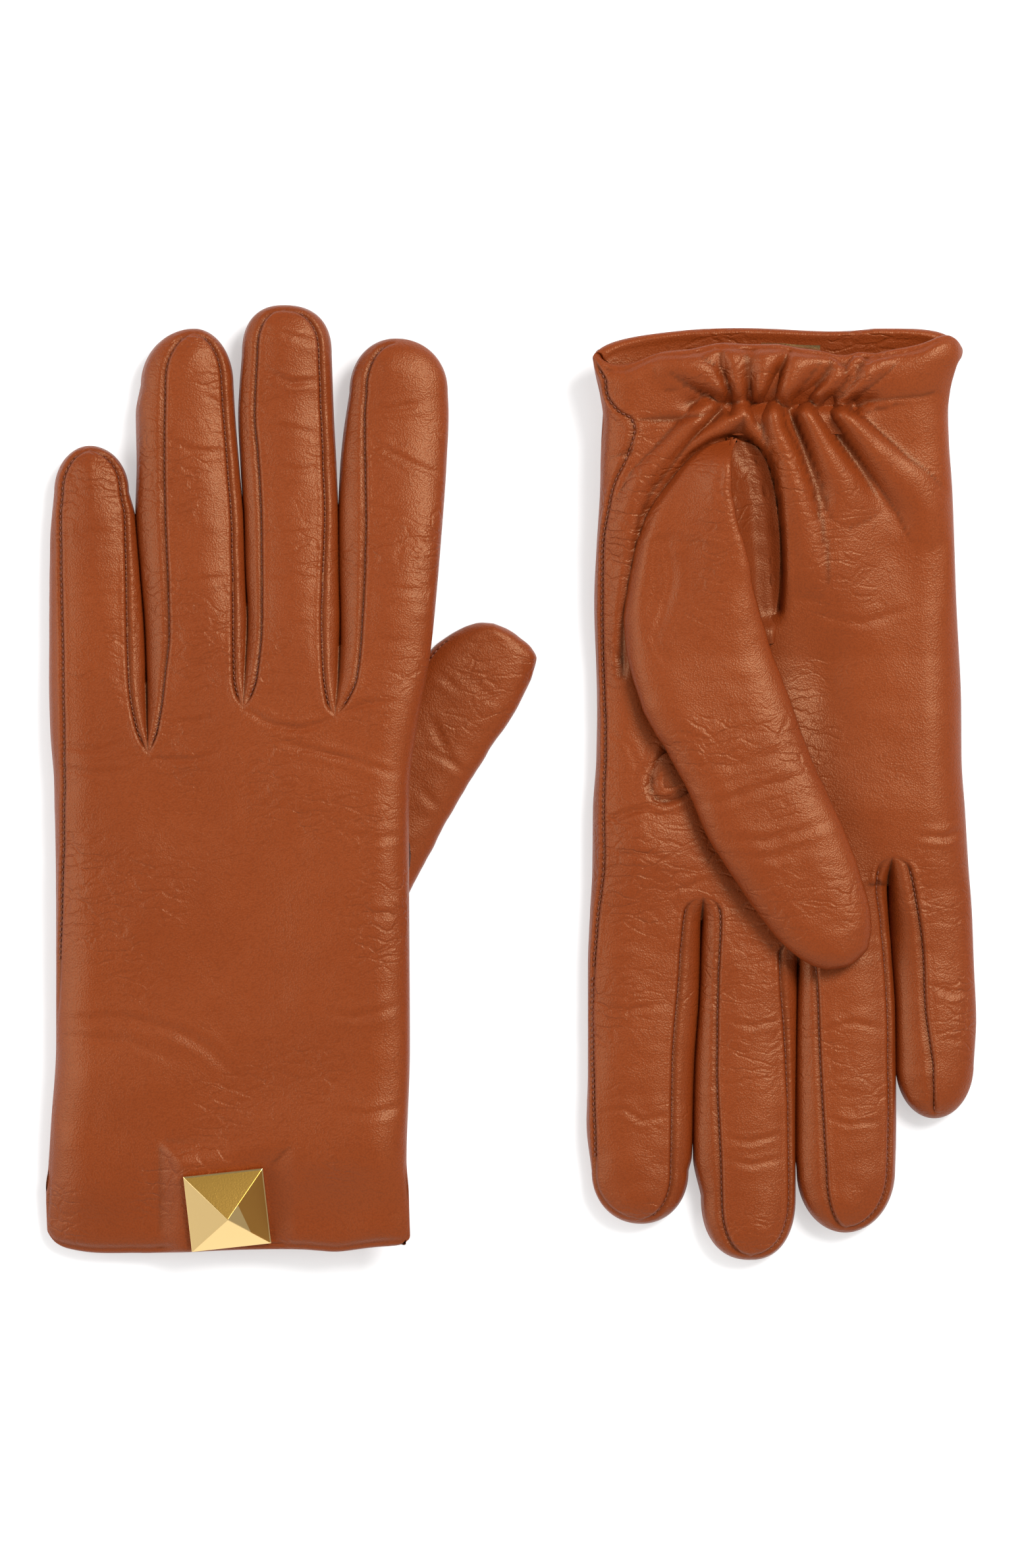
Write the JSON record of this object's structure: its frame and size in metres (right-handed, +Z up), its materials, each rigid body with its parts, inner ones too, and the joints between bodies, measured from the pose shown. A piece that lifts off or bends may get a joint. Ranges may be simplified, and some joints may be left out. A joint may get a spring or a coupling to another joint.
{
  "type": "pair of leather gloves",
  "caption": "Pair of short leather gloves with a square stud at each cuff; fingers fold at the middle knuckle and thumbs swing.",
  "frame": {"origin": "middle of the pair's footprint, on the surface that it lies on", "axes": "+Z up; +Y along the left glove's fingers; +X from the left glove to the right glove"},
  "size_m": [0.2212, 0.2268, 0.0235],
  "materials": {
    "leather": "soft semi-matt grained nappa leather",
    "fourchette_leather": "soft semi-matt nappa leather",
    "lining": "fine knitted lining",
    "elastic": "woven elastic tape",
    "gold": "polished, with one brushed facet"
  },
  "bodies": {
    "right_hand": {"right_back": "leather", "right_palm": "leather", "right_hem": "leather", "right_elastic": "elastic", "right_lining": "lining", "right_stud": "gold", "right_stud_plate": "gold", "right_thumb_base": "leather", "right_thumb_quirk": "fourchette_leather", "right_fourchette_ring_little": "fourchette_leather", "right_fourchette_middle_ring": "fourchette_leather", "right_fourchette_index_middle": "fourchette_leather"},
    "right_thumb": {"right_thumb": "leather", "right_thumb_lining": "lining"},
    "right_little": {"right_little_back": "leather", "right_little_palm": "leather", "right_little_sides": "fourchette_leather", "right_little_lining": "lining"},
    "right_ring": {"right_ring_back": "leather", "right_ring_palm": "leather", "right_ring_sides": "fourchette_leather", "right_ring_lining": "lining"},
    "right_middle": {"right_middle_back": "leather", "right_middle_palm": "leather", "right_middle_sides": "fourchette_leather", "right_middle_lining": "lining"},
    "right_index": {"right_index_back": "leather", "right_index_palm": "leather", "right_index_sides": "fourchette_leather", "right_index_lining": "lining"},
    "left_hand": {"left_back": "leather", "left_palm": "leather", "left_hem": "leather", "left_elastic": "elastic", "left_lining": "lining", "left_stud": "gold", "left_stud_plate": "gold", "left_thumb_base": "leather", "left_thumb_quirk": "fourchette_leather", "left_fourchette_ring_little": "fourchette_leather", "left_fourchette_middle_ring": "fourchette_leather", "left_fourchette_index_middle": "fourchette_leather"},
    "left_thumb": {"left_thumb": "leather", "left_thumb_lining": "lining"},
    "left_little": {"left_little_back": "leather", "left_little_palm": "leather", "left_little_sides": "fourchette_leather", "left_little_lining": "lining"},
    "left_ring": {"left_ring_back": "leather", "left_ring_palm": "leather", "left_ring_sides": "fourchette_leather", "left_ring_lining": "lining"},
    "left_middle": {"left_middle_back": "leather", "left_middle_palm": "leather", "left_middle_sides": "fourchette_leather", "left_middle_lining": "lining"},
    "left_index": {"left_index_back": "leather", "left_index_palm": "leather", "left_index_sides": "fourchette_leather", "left_index_lining": "lining"}
  },
  "joints": [
    {"name": "left_glove_lift", "type": "slide", "parent": "right_hand", "child": "left_hand", "axis": [0, 0, 1], "range_m": [0, 0.1]},
    {"name": "left_little_fold", "type": "hinge", "parent": "left_hand", "child": "left_little", "pos_m": [-0.09944, 0.046, 0.00117], "axis": [-0.9932, 0, -0.1167], "range_deg": [-10, 90]},
    {"name": "left_ring_fold", "type": "hinge", "parent": "left_hand", "child": "left_ring", "pos_m": [-0.07715, 0.056, 0.00379], "axis": [-0.9932, 0, -0.1167], "range_deg": [-10, 90]},
    {"name": "left_middle_fold", "type": "hinge", "parent": "left_hand", "child": "left_middle", "pos_m": [-0.05316, 0.058, 0.0066], "axis": [-0.9932, 0, -0.1167], "range_deg": [-10, 90]},
    {"name": "left_index_fold", "type": "hinge", "parent": "left_hand", "child": "left_index", "pos_m": [-0.02893, 0.054, 0.00945], "axis": [-0.9932, 0, -0.1167], "range_deg": [-10, 90]},
    {"name": "right_little_fold", "type": "hinge", "parent": "right_hand", "child": "right_little", "pos_m": [0.1006, -0.046, 0.0105], "axis": [-1, 0, 0], "range_deg": [-10, 90]},
    {"name": "right_ring_fold", "type": "hinge", "parent": "right_hand", "child": "right_ring", "pos_m": [0.07815, -0.056, 0.0105], "axis": [-1, 0, 0], "range_deg": [-10, 90]},
    {"name": "right_middle_fold", "type": "hinge", "parent": "right_hand", "child": "right_middle", "pos_m": [0.054, -0.058, 0.0105], "axis": [-1, 0, 0], "range_deg": [-10, 90]},
    {"name": "right_index_fold", "type": "hinge", "parent": "right_hand", "child": "right_index", "pos_m": [0.0296, -0.054, 0.0105], "axis": [-1, 0, 0], "range_deg": [-10, 90]},
    {"name": "left_thumb_swing", "type": "hinge", "parent": "left_hand", "child": "left_thumb", "pos_m": [-0.035, -0.017, 0.0034], "axis": [0, 0, 1], "range_deg": [-8, 30]},
    {"name": "right_thumb_swing", "type": "hinge", "parent": "right_hand", "child": "right_thumb", "pos_m": [0.0478, 0.0115, 0.0142], "axis": [0, 0, 1], "range_deg": [-55, 8]}
  ]
}
